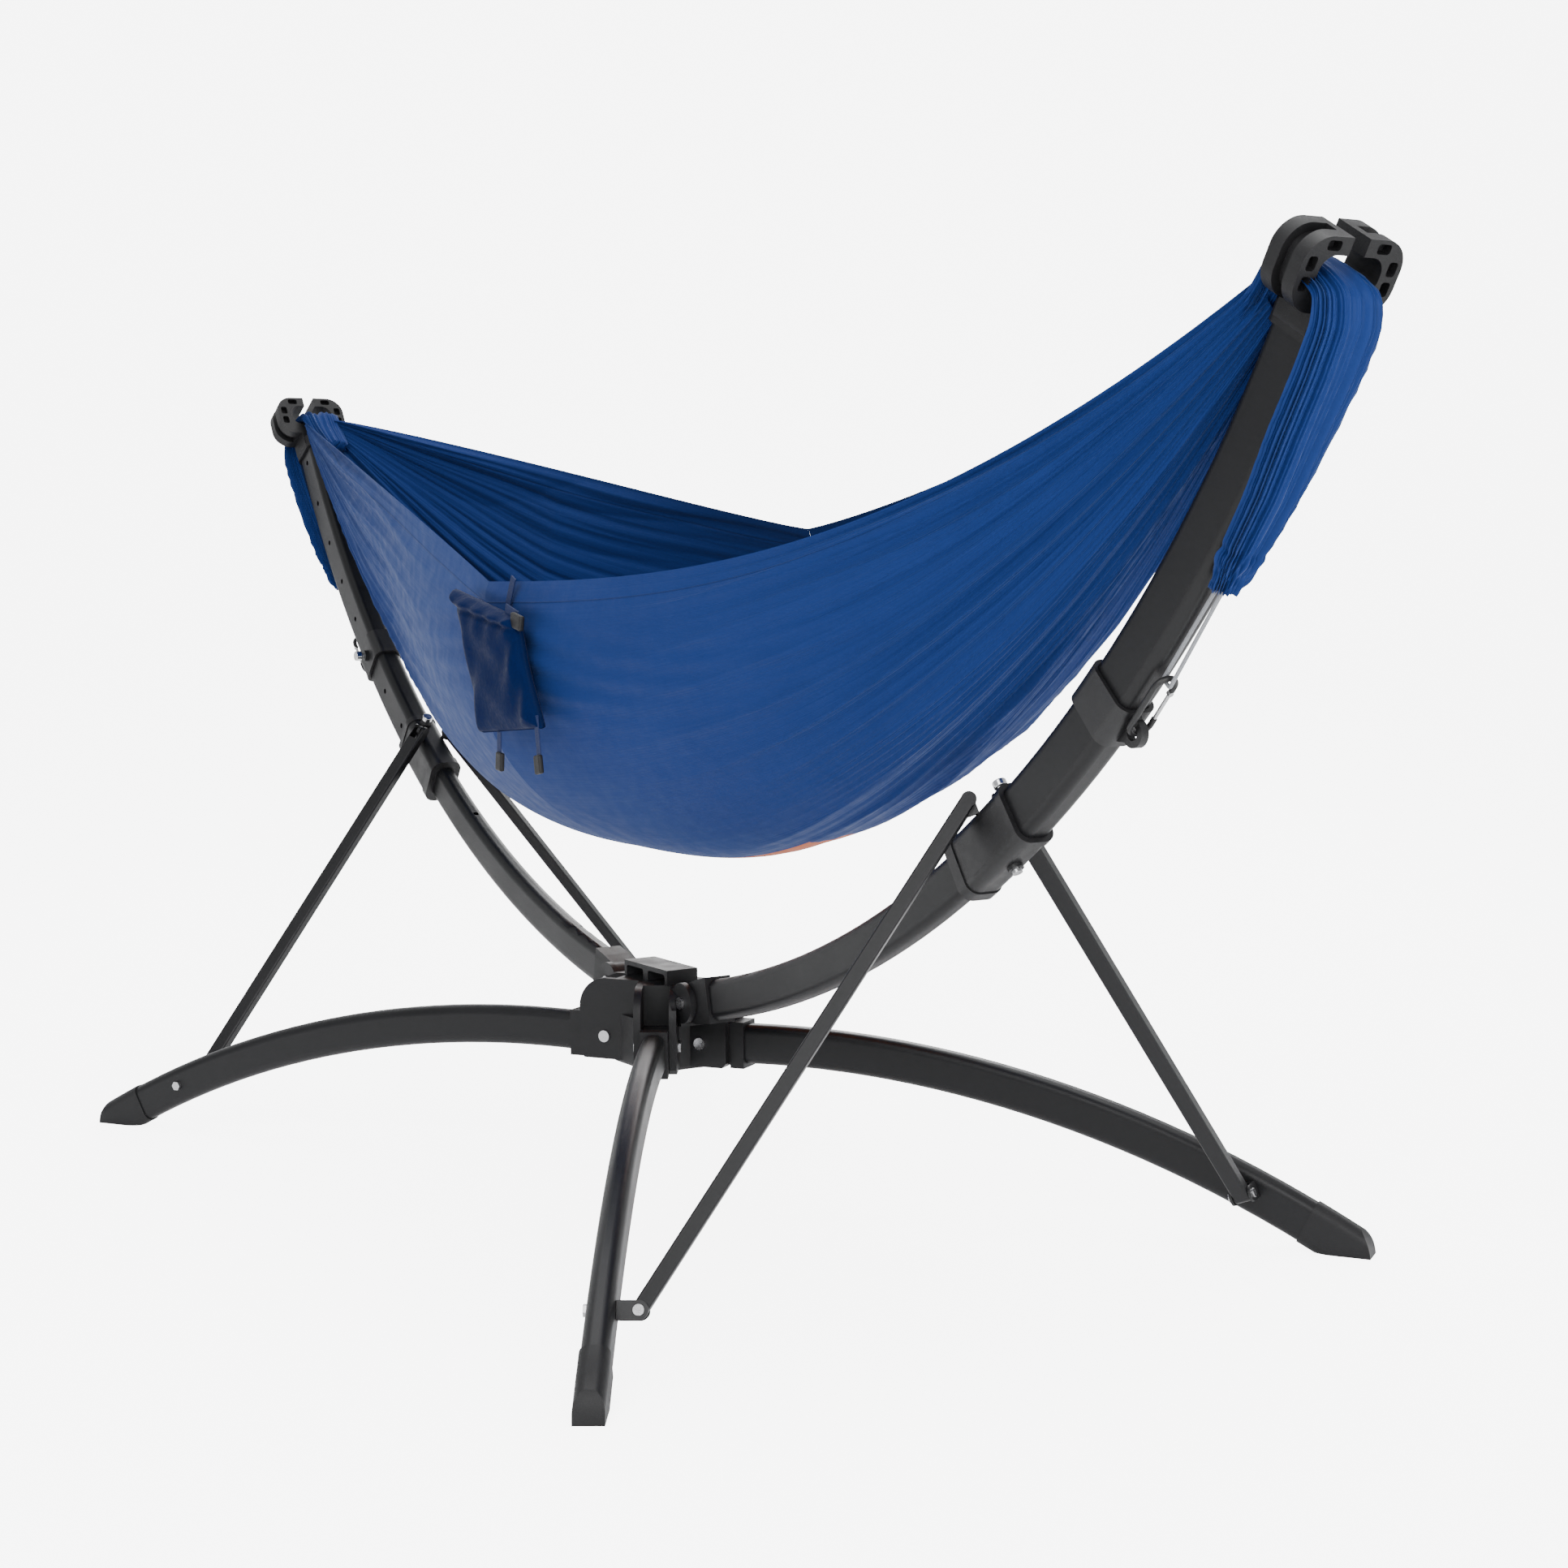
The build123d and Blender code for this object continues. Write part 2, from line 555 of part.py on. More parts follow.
# ---------------------------------------------------------------- ring collar, carabiner, cord
RING_GAP = 0.3
RING_BORE = (UPPER_SECTION[0] + 2 * RING_GAP, UPPER_SECTION[1] + 2 * RING_GAP)
eyelet = mast_point(44.2, -EYELET_OUTWARD)
with BuildPart() as ring_collar:
    add(mast_sleeve(RING_START, RING_END, (45, 69), RING_BORE, 14))
    with BuildSketch(Plane.XZ.offset(-4.5)):
        with Locations((eyelet.X, eyelet.Z)):
            Circle(14)
        base_low = mast_point(43.3, -32)
        base_high = mast_point(44.75, -32)
        with BuildLine():
            Polyline(
                (base_low.X, base_low.Z), (base_high.X, base_high.Z), (eyelet.X + 8, eyelet.Z + 6),
                (eyelet.X - 7, eyelet.Z - 9), (base_low.X, base_low.Z),
            )
        make_face()
    extrude(amount=9)
    with BuildSketch(Plane.XZ.offset(-20)):
        with Locations((eyelet.X, eyelet.Z)):
            Circle(7)
    extrude(amount=40, mode=Mode.SUBTRACT)
    pin_spot = mast_point(RING_PIN_ANGLE)
    with BuildSketch(Plane.XZ.offset(-28)):
        with Locations((pin_spot.X, pin_spot.Z)):
            Circle(8.5)
    extrude(amount=8)
    with BuildSketch(Plane.XZ.offset(-30)):
        with Locations((pin_spot.X, pin_spot.Z)):
            Circle(HOLE_RADIUS)
    extrude(amount=20, mode=Mode.SUBTRACT)
    add(arc_tube(mast_plane(RING_START - 1), MAST_AXIS, 4, RING_BORE, 0), mode=Mode.SUBTRACT)
save_masts(ring_collar.part, "ring_collar")

with BuildPart() as ring_pin:
    with BuildSketch(Plane.XZ.offset(-42)):
        with Locations((pin_spot.X, pin_spot.Z)):
            Circle(7.5)
    extrude(amount=10)
    with BuildSketch(Plane.XZ.offset(-32)):
        with Locations((pin_spot.X, pin_spot.Z)):
            Circle(HOLE_RADIUS - 0.3)
    extrude(amount=32 - UPPER_SECTION[0] / 2 - 0.6)
    with BuildSketch(Plane.XZ.offset(-32)):
        with Locations((pin_spot.X, pin_spot.Z)):
            Circle(4.5)
    extrude(amount=3.6)
    fillet(ring_pin.edges().filter_by(GeomType.CIRCLE).filter_by(lambda e: e.radius > 7), 1.5)
save_masts(ring_pin.part, "ring_pin")

# carabiner: its plane holds world Y and the direction of the cord's pull
ROD = 3.0
CLIP_LENGTH = 71.5
CLIP_HALF = 12.0
GATE_LOW = 19.0
GATE_HIGH = 55.0
GATE_RADIUS = 2.0
GATE_EYE = 2.8
END_GAP = 0.5
pull = Vector(0.671, 0, 0.741).normalized()
clip_plane = Plane(origin=eyelet, x_dir=(0, 1, 0), z_dir=Vector(0, 1, 0).cross(pull))
with BuildPart() as carabiner:
    with BuildLine(clip_plane) as clip_path:
        Line((CLIP_HALF, GATE_HIGH), (CLIP_HALF, CLIP_LENGTH - CLIP_HALF))
        ThreePointArc(
            (CLIP_HALF, CLIP_LENGTH - CLIP_HALF), (0, CLIP_LENGTH), (-CLIP_HALF, CLIP_LENGTH - CLIP_HALF)
        )
        Line((-CLIP_HALF, CLIP_LENGTH - CLIP_HALF), (-CLIP_HALF, CLIP_HALF))
        ThreePointArc((-CLIP_HALF, CLIP_HALF), (0, 0), (CLIP_HALF, CLIP_HALF))
        Line((CLIP_HALF, CLIP_HALF), (CLIP_HALF, GATE_LOW))
    start = clip_path.wires()[0]
    with BuildSketch(Plane(origin=start @ 0, z_dir=start % 0)):
        Circle(ROD)
    sweep(path=clip_path.wires()[0])
save_masts(carabiner.part, "carabiner")

with BuildPart() as carabiner_gate:
    gate_foot = clip_plane.from_local_coords(Vector(CLIP_HALF, GATE_LOW + END_GAP, 0))
    with BuildSketch(Plane(origin=gate_foot, z_dir=pull)):
        Circle(GATE_RADIUS)
    extrude(amount=GATE_HIGH - GATE_LOW - 2 * END_GAP - GATE_EYE)
    with BuildSketch(clip_plane):
        with Locations((CLIP_HALF, GATE_HIGH - END_GAP - GATE_EYE)):
            Circle(GATE_EYE)
    extrude(amount=GATE_RADIUS + 0.4, both=True)
save_masts(carabiner_gate.part, "carabiner_gate")

# cord loop: from the hammock's gathered end, round the top of the carabiner and back
CORD = 4.0
TAIL_SHIFT = -6.0
CORD_OFFSET = 6.2
clip_top = eyelet + pull * CLIP_LENGTH
clip_normal = Vector(0, 1, 0).cross(pull)
cord_end = clip_top + pull * 116 + Vector(0, TAIL_SHIFT, 0)
cord_route = [
    cord_end + clip_normal * 8 - Vector(0, 5, 0),
    clip_top + clip_normal * CORD_OFFSET - pull * CORD_OFFSET,
    clip_top - clip_normal * CORD_OFFSET - pull * CORD_OFFSET,
    cord_end - clip_normal * 8 + Vector(0, 5, 0),
]
with BuildPart() as cord_loop:
    with BuildLine() as cord_path:
        FilletPolyline(*cord_route, radius=[CORD_OFFSET - 0.3, CORD_OFFSET - 0.3])
    cord_wire = cord_path.wires()[0]
    with BuildSketch(Plane(origin=cord_wire @ 0, z_dir=cord_wire % 0)):
        Circle(CORD / 2)
    sweep(path=cord_wire)
print("cord loop length", round(cord_wire.length, 1), "radii", CORD_OFFSET - 0.3)
print("cord volume ratio", round(cord_loop.part.volume / (pi * (CORD / 2) ** 2 * cord_wire.length), 4))
print("cord route", [(round(p.X, 1), round(p.Y, 1), round(p.Z, 1)) for p in cord_route])
save_masts(cord_loop.part, "cord_loop")

# ---------------------------------------------------------------- hook yoke
NECK_ANGLE = 59.75
YOKE_WIDTH = 112.0
YOKE_THICKNESS = 44.0
neck_turn = radians(NECK_ANGLE)
yoke_plane = Plane(
    origin=mast_point(NECK_ANGLE), x_dir=(0, 1, 0), z_dir=Vector(sin(neck_turn), 0, -cos(neck_turn))
)
SADDLE = 43.0
with BuildSketch() as yoke_outline:
    with Locations((0, 59)):
        RectangleRounded(YOKE_WIDTH, 68, 26)
    with Locations((0, 20)):
        RectangleRounded(46, 44, 10)
with BuildSketch() as yoke_opening:
    with Locations((0, SADDLE + 17)):
        RectangleRounded(70, 34, 15)
    with Locations((0, 90)):
        Rectangle(18, 40)
with BuildPart() as yoke:
    with BuildSketch(yoke_plane.offset(-YOKE_THICKNESS / 2)):
        add(yoke_outline.sketch)
        add(yoke_opening.sketch, mode=Mode.SUBTRACT)
    extrude(amount=YOKE_THICKNESS)
    # groove round the outside of each hook, between its two flanges
    with BuildSketch(yoke_plane.offset(-7)):
        with Locations((0, 62)):
            Rectangle(130, 90)
        with Locations((0, 59)):
            RectangleRounded(YOKE_WIDTH - 16, 52, 19, mode=Mode.SUBTRACT)
        with Locations((0, 20)):
            Rectangle(60, 40, mode=Mode.SUBTRACT)
        with Locations((0, 84)):
            Rectangle(34, 30, mode=Mode.SUBTRACT)
    extrude(amount=14, mode=Mode.SUBTRACT)
    # lightening pockets in both faces
    for face, depth in ((-YOKE_THICKNESS / 2, 9), (YOKE_THICKNESS / 2 - 9, 9)):
        with BuildSketch(yoke_plane.offset(face)):
            with Locations((-45.5, 50), (45.5, 50)):
                RectangleRounded(10, 13, 3)
            with Locations((-45.5, 68), (45.5, 68)):
                RectangleRounded(10, 13, 3)
            with Locations((-28, 85), (28, 85)):
                RectangleRounded(15, 9, 3)
        extrude(amount=depth, mode=Mode.SUBTRACT)
    add(mast_sleeve(NECK_ANGLE - 0.1, UPPER_END + 0.2, (44, 68), (34, 58), 15))
    add(upper_outer, mode=Mode.SUBTRACT)
save_masts(yoke.part, "yoke")

# ---------------------------------------------------------------- hammock
MIDDLE_RIMS = (768.0, 831.0)
MIDDLE_BOTTOM = 415.0
MIDDLE_HALF = 228.0
NECK_RIM = 1016.0
NECK_BOTTOM = 985.0
NECK_HALF = 28.0
NEAR_RISE = {"right": 3.0, "left": 0.97}
BULGE_LENGTH = {"right": 1500.0, "left": 620.0}


def hammock_section(side, distance):
    """Near rim, bottom and far rim points (y, z), and the belly's roundness, at a distance out."""
    share = distance / NECK_X
    taper = 1 - share**2 if side == "right" else 1 - share
    near_half = NECK_HALF + (MIDDLE_HALF - NECK_HALF) * taper
    far_half = NECK_HALF + (MIDDLE_HALF - NECK_HALF) * (1 - share**2) ** 0.8
    near = MIDDLE_RIMS[0] + (NECK_RIM - MIDDLE_RIMS[0]) * share ** NEAR_RISE[side]
    far = MIDDLE_RIMS[1] + (NECK_RIM - MIDDLE_RIMS[1]) * share**1.15
    bottom = MIDDLE_BOTTOM + (NECK_BOTTOM - MIDDLE_BOTTOM) * share**2.5
    roundness = max(0.0, 1 - distance / BULGE_LENGTH[side])
    return (-near_half, near), (0.0, bottom), (far_half, far), roundness


def section_points(side, distance):
    """Points round the fabric from rim to rim, between an upright ellipse and a round belly."""
    near, keel, far, roundness = hammock_section(side, distance)
    belly = ThreePointArc(near, keel, far)
    points = []
    for step in range(13):
        turn = pi * step / 12
        rim = near if step < 6 else far
        upright = Vector(abs(cos(turn)) * rim[0], keel[1] + (rim[1] - keel[1]) * (1 - sin(turn)))
        points.append(upright * (1 - roundness) + (belly @ (step / 12)) * roundness)
    return points


stations = (0.2, 240, 480, 700, 860, 980, 1060, NECK_X)
for side, sign in (("right", 1), ("left", -1)):
    with BuildPart() as hammock_half:
        for distance in stations:
            outer = section_points(side, distance)
            inner = []
            for before, here, after in zip(outer[:1] + outer[:-1], outer, outer[1:] + outer[-1:]):
                along_edge = (after - before).normalized()
                inner.append(here + Vector(-along_edge.Y, along_edge.X) * FABRIC)
            with BuildSketch(Plane.YZ.offset(sign * distance)):
                with BuildLine():
                    Spline(*outer)
                    Line(outer[-1], inner[-1])
                    Spline(*inner[::-1])
                    Line(inner[0], outer[0])
                make_face()
        loft()
    print("hammock", side, "front", round(hammock_half.part.bounding_box().min.Y, 1))
    save(hammock_half.part, f"hammock_{side}")

# tail: the gathered end, over the saddle and down the outside of the mast
TAIL_WIDTH = 52.0
TAIL_DEPTH = 16.0
TAIL_OUTWARD = 46.0
TAIL_END_ANGLE = 51.3
tail_height = SADDLE + TAIL_DEPTH / 2 + 2.5
inner_turn = yoke_plane.from_local_coords(Vector(0, tail_height, -40))
outer_turn = yoke_plane.from_local_coords(Vector(0, tail_height, 32))
tail_corners = [Vector(NECK_X + 13, 0, 1014), inner_turn, outer_turn]
tail_corners += [mast_point(angle, -TAIL_OUTWARD) for angle in (60.9, 56, TAIL_END_ANGLE)]
with BuildPart() as hammock_tail:
    with BuildLine() as tail_path:
        FilletPolyline(
            *[corner + Vector(0, TAIL_SHIFT, 0) for corner in tail_corners], radius=[14, 18, 26, 60]
        )
    tail_wire = tail_path.wires()[0]
    with BuildSketch(Plane(origin=tail_wire @ 0, x_dir=(0, 1, 0), z_dir=tail_wire % 0)):
        RectangleRounded(TAIL_WIDTH, TAIL_DEPTH, 7)
    sweep(path=tail_wire)
print("tail length", round(tail_wire.length, 1), [tuple(round(v) for v in c) for c in tail_corners])
save_masts(hammock_tail.part, "hammock_tail")

# stuff sack, hanging askew from the near hem
SACK_FACE = 246.0
SACK_CORNERS = ((-40, 760), (130, 727), (192, 601), (31, 588))
with BuildPart() as stuff_sack:
    with BuildSketch(Plane.XZ.offset(SACK_FACE)):
        with BuildLine():
            FilletPolyline(*SACK_CORNERS, radius=16, close=True)
        make_face()
    extrude(amount=26)
    fillet(stuff_sack.faces().sort_by(Axis.Y)[0].edges(), 9)
save(stuff_sack.part, "stuff_sack")
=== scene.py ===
"""Looks of the folding hammock stand: floor and light, powder-coated frame, black
mouldings, steel hardware, then the hammock, its gathered ends, cords and sack.
Lengths are in metres, X runs along the masts and Z is up."""

import math

import bpy
import numpy as np
from mathutils import Matrix, Vector


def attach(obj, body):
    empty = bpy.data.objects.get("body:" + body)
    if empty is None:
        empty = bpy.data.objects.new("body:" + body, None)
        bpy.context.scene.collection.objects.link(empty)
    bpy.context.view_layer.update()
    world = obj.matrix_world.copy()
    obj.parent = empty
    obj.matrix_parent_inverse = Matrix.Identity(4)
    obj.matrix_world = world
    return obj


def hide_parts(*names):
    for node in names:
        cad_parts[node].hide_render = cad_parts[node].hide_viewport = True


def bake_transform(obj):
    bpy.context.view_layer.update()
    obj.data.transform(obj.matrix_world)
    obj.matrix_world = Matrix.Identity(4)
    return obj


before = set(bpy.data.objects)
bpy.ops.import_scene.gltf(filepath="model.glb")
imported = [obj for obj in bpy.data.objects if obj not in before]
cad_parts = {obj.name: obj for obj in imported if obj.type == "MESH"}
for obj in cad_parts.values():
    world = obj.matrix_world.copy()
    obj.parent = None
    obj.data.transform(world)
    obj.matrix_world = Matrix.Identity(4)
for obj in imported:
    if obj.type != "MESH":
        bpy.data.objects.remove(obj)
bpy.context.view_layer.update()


# ------------------------------------------------------------------ camera
# A fixed lens at standing distance, slightly above the hooks' height and turned a little
# about its own axis.
camera = bpy.data.objects.new("camera", bpy.data.cameras.new("camera"))
bpy.context.collection.objects.link(camera)
bpy.context.scene.camera = camera
camera.data.lens = 56.16
camera.data.sensor_width = 36
forward = Vector((-0.84693, 0.52432, -0.08826)).normalized()
right = forward.cross(Vector((0, 0, 1))).normalized()
up = right.cross(forward)
roll = math.sin(-0.0104)
tilted_right = right * math.cos(roll) + up * roll
tilted_up = up * math.cos(roll) - right * roll
camera.matrix_world = Matrix.Translation((2.70255, -1.48552, 0.78139)) @ Matrix(
    (tilted_right, tilted_up, -forward)
).transposed().to_4x4()

# ------------------------------------------------------------------ floor and light
# A pale sweep rises behind the stand. It glows for the lens only, so that it stays light
# without flooding the cloth, and four soft lamps stand round it.
class Wire:
    """One shader output. The usual operators chain Math nodes onto it, and node() adds
    any other node: sockets are given by name, and wires among them are linked."""

    def __init__(self, tree, output):
        self.tree, self.output = tree, output

    def node(self, kind, inputs, output=0, **settings):
        made = self.tree.nodes.new(kind)
        for name, value in settings.items():
            setattr(made, name, value)
        for name, value in inputs.items():
            if isinstance(value, Wire):
                self.tree.links.new(value.output, made.inputs[name])
            else:
                made.inputs[name].default_value = value
        return Wire(self.tree, made.outputs[output])

    def math(self, operation, *others):
        return self.node("ShaderNodeMath", dict(enumerate((self, *others))), operation=operation)

    def __add__(self, other):
        return self.math("ADD", other)

    def __sub__(self, other):
        return self.math("SUBTRACT", other)

    def __mul__(self, other):
        return self.math("MULTIPLY", other)

    def __lt__(self, other):
        return self.math("LESS_THAN", other)

    def __gt__(self, other):
        return self.math("GREATER_THAN", other)

    def remap(self, low, high, to_low, to_high):
        """This value, clamped between low and high, carried over to another range."""
        return self.node(
            "ShaderNodeMapRange",
            {"Value": self, "From Min": low, "From Max": high, "To Min": to_low, "To Max": to_high},
        )

    def noise(self, scale, detail=3.0):
        return self.node("ShaderNodeTexNoise", {"Vector": self, "Scale": scale, "Detail": detail})

    def blend(self, dark, light):
        """A colour between dark and light, with this value as the share of light."""
        return self.node(
            "ShaderNodeMix", {0: self, 6: (*dark, 1), 7: (*light, 1)}, output=2, data_type="RGBA"
        )


def new_material(name, **fixed):
    """A Principled material with constant sockets set, its shader node and object coordinates."""
    material = bpy.data.materials.new(name)
    material.use_nodes = True
    tree = material.node_tree
    shader = tree.nodes["Principled BSDF"]
    for socket, value in fixed.items():
        shader.inputs[socket.replace("_", " ")].default_value = value
    place = Wire(tree, tree.nodes.new("ShaderNodeTexCoord").outputs["Object"])
    return material, shader, place


def link(shader, **wires):
    for socket, wire in wires.items():
        wire.tree.links.new(wire.output, shader.inputs[socket.replace("_", " ")])


def add_mesh(name, points, faces, material, body):
    """A smooth mesh piece in its final place, riding on one body unless body is None."""
    mesh = bpy.data.meshes.new(name)
    mesh.from_pydata([tuple(p) for p in points], [], [tuple(f) for f in faces])
    mesh.materials.append(material)
    mesh.shade_smooth()
    piece = bpy.data.objects.new(name, mesh)
    bpy.context.collection.objects.link(piece)
    if body:
        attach(piece, body)
    return piece


floor_paint, floor_shader, floor_place = new_material("pale_floor", Roughness=0.75, Emission_Strength=1.0)
floor_tone = floor_place.noise(1.5).blend((0.9, 0.905, 0.91), (0.95, 0.95, 0.95))
seen = floor_place.node("ShaderNodeLightPath", {}, output="Is Camera Ray")
link(floor_shader, Base_Color=floor_tone, Emission_Color=seen.blend((0.3, 0.3, 0.3), (6.0, 6.0, 6.0)))
sweep = [(12.0, 0.0), (-3.2, 0.0)]
sweep += [(-3.2 - 2.5 * math.sin(a), 2.5 - 2.5 * math.cos(a)) for a in np.linspace(0.1, math.pi / 2, 16)]
sweep += [(-5.7, 9.0)]
back, side = Vector((forward.x, forward.y, 0)).normalized(), Vector((right.x, right.y, 0))
floor_points = [
    back * -along + side * across + Vector((0, 0, height))
    for along, height in sweep
    for across in (-14, 14)
]
floor_faces = [(2 * i, 2 * i + 1, 2 * i + 3, 2 * i + 2) for i in range(len(sweep) - 1)]
floor = add_mesh("floor", floor_points, floor_faces, floor_paint, None)

world = bpy.data.worlds.new("studio")
bpy.context.scene.world = world
world.use_nodes = True
world.node_tree.nodes["Background"].inputs["Color"].default_value = (0.97, 0.98, 1.0, 1)
world.node_tree.nodes["Background"].inputs["Strength"].default_value = 0.7
for name, place, size, power in (
    ("key", (2.6, -3.4, 3.2), 2.8, 130),
    ("fill", (4.4, -0.6, 1.5), 2.6, 110),
    ("top", (-0.4, 0.4, 4.2), 3.2, 120),
    ("rim", (-3.2, 2.4, 2.2), 2.0, 60),
):
    lamp = bpy.data.lights.new(name, "AREA")
    lamp.size, lamp.energy = size, power
    holder = bpy.data.objects.new(name, lamp)
    bpy.context.collection.objects.link(holder)
    holder.location = place
    holder.rotation_euler = (Vector((0, 0, 0.5)) - Vector(place)).to_track_quat("-Z", "Y").to_euler()

# ------------------------------------------------------------------ frame: powder-coated tubes
# Curved legs and masts and the straight struts share one charcoal coat with a fine
# orange-peel grain and a slow change in sheen.
def bump(wire, height, strength, distance):
    return wire.node("ShaderNodeBump", {"Height": height, "Strength": strength, "Distance": distance})


def cover(material, *stems):
    """Give a material to every CAD node whose name starts with one of the stems."""
    for name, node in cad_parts.items():
        if name.startswith(stems):
            node.data.materials.clear()
            node.data.materials.append(material)
            for face in node.data.polygons:
                face.material_index = 0


coat, coat_shader, coat_place = new_material("tube_paint", Specular_IOR_Level=0.3)
grain = coat_place.noise(2600.0, 2.0)
cloud = coat_place.noise(9.0, 4.0)
link(
    coat_shader,
    Base_Color=cloud.blend((0.0040, 0.0041, 0.0048), (0.0065, 0.0066, 0.0076)),
    Roughness=cloud.remap(0.3, 0.7, 0.33, 0.42),
    Normal=bump(grain, grain, 0.22, 0.0004),
)
cover(coat, "leg_tube", "strut_front", "strut_back", "mast_lower", "mast_upper")

# ------------------------------------------------------------------ hub, feet, yokes: moulded nylon
# Fine spark-eroded texture, slightly greyer where it has been handled.
nylon, nylon_shader, nylon_place = new_material("black_plastic", Specular_IOR_Level=0.3)
texture = nylon_place.noise(1500.0, 4.0)
handled = nylon_place.noise(28.0, 5.0)
link(
    nylon_shader,
    Base_Color=handled.blend((0.0045, 0.0045, 0.005), (0.010, 0.010, 0.011)),
    Roughness=handled.remap(0.35, 0.65, 0.42, 0.56),
    Normal=bump(texture, texture, 0.35, 0.0005),
)
cover(nylon, "hub_body", "leg_knuckle", "leg_foot", "mast_knuckle", "yoke")

# ------------------------------------------------------------------ collars and brackets
# Cast and painted pieces with a slightly pitted skin: collars, strut brackets, the base plate
# and the carabiners.
casting, casting_shader, casting_place = new_material("black_casting", Specular_IOR_Level=0.45)
pitting = casting_place.noise(900.0, 5.0)
wear = casting_place.noise(60.0, 5.0)
link(
    casting_shader,
    Base_Color=wear.blend((0.005, 0.005, 0.0055), (0.011, 0.011, 0.012)),
    Roughness=wear.remap(0.3, 0.7, 0.34, 0.5),
    Normal=bump(pitting, pitting, 0.25, 0.0006),
)
cover(casting, "strut_collar", "ring_collar", "strut_bracket", "hub_base_plate", "carabiner_")

# ------------------------------------------------------------------ steel fasteners, pull knobs and gates
# Bright turned steel for bolts, pins and gates, and smoother plated knobs.
steel, steel_shader, steel_place = new_material("steel", Metallic=1.0)
turning = steel_place.noise(700.0, 6.0)
link(
    steel_shader,
    Base_Color=turning.blend((0.42, 0.42, 0.43), (0.62, 0.62, 0.63)),
    Roughness=turning.remap(0.3, 0.7, 0.2, 0.36),
    Normal=bump(turning, turning, 0.15, 0.0002),
)
cover(steel, "hub_bolts", "swivel_bolt", "bracket_pin", "collar_bolt", "carabiner_gate")
chrome, chrome_shader, chrome_place = new_material("pull_knob", Metallic=1.0)
smear = chrome_place.noise(240.0, 4.0)
link(
    chrome_shader,
    Base_Color=smear.blend((0.6, 0.6, 0.61), (0.78, 0.78, 0.79)),
    Roughness=smear.remap(0.3, 0.7, 0.1, 0.22),
)
cover(chrome, "lock_pin", "ring_pin")

# ------------------------------------------------------------------ hammock fabric
# Thin nylon, drawn into pleats at the hooks. A dark stitched line runs beside both rims and
# one orange panel lies under the keel.
fabric, fabric_shader, fabric_place = new_material(
    "hammock_fabric", Sheen_Weight=0.10, Sheen_Roughness=0.5, Specular_IOR_Level=0.06
)
fabric_shader.inputs["Sheen Tint"].default_value = (0.3, 0.5, 1.0, 1)
fabric_shader.inputs["Specular Tint"].default_value = (0.5, 0.7, 1.0, 1)
cloth_uv = fabric_place.node("ShaderNodeUVMap", {}, uv_map="cloth")
spread = cloth_uv.node("ShaderNodeSeparateXYZ", {"Vector": cloth_uv})
along_cloth, across_cloth = spread, Wire(spread.tree, spread.output.node.outputs[1])
panel_edges = (across_cloth > 0.497) * (across_cloth < 0.62) * (along_cloth.math("ABSOLUTE") < 0.36)
dye = cloth_uv.noise(7.0, 5.0)
blue = dye.blend((0.0080, 0.0215, 0.106), (0.0105, 0.0270, 0.124))
panel = panel_edges.node(
    "ShaderNodeMix", {0: panel_edges, 6: blue, 7: (0.55, 0.13, 0.012, 1)}, output=2, data_type="RGBA"
)
# fine lines of tension towards the hooks, stretched noise that fades out in the middle
strings = cloth_uv.node("ShaderNodeVectorMath", {0: cloth_uv, 1: (1.2, 210.0, 0.0)}, operation="MULTIPLY")
tension = strings.noise(1.0, 3.0) * along_cloth.math("ABSOLUTE").remap(0.1, 0.95, 0.12, 1.0)
to_rim = across_cloth.math("MINIMUM", (across_cloth * -1.0) + 1.0)
stitches = (to_rim - 0.027).math("ABSOLUTE").remap(0.0, 0.0016, 1.0, 0.0)
thread = stitches.node(
    "ShaderNodeMix", {0: stitches * 0.45, 6: panel, 7: (0.001, 0.004, 0.03, 1)}, output=2, data_type="RGBA"
)
crumple = cloth_uv.noise(38.0, 6.0)
link(
    fabric_shader,
    Base_Color=thread,
    Roughness=crumple.remap(0.3, 0.7, 0.50, 0.64),
    Normal=bump(tension, tension * 2.2 + crumple * 0.35 - stitches * 0.5, 0.55, 0.0022),
)

SPAN = 1.128
ROWS, COLUMNS = 205, 440


def crease(turns, sharpness):
    """A pleat profile: rounded valleys between sharper ridges, from -0.5 to 0.5."""
    return 0.5 - np.abs(np.sin(np.pi * turns)) ** sharpness


def smooth(value, low, high):
    share = np.clip((value - low) / (high - low), 0, 1)
    return share * share * (3 - 2 * share)


def wander(places, cells, seed):
    """Smooth random values between 0 and 1 over places from 0 to 1."""
    knots = np.random.default_rng(seed).random(cells + 3)
    spot = places * cells
    base = np.clip(spot.astype(int), 0, cells)
    share = smooth(spot - base, 0, 1)
    return knots[base] * (1 - share) + knots[base + 1] * share


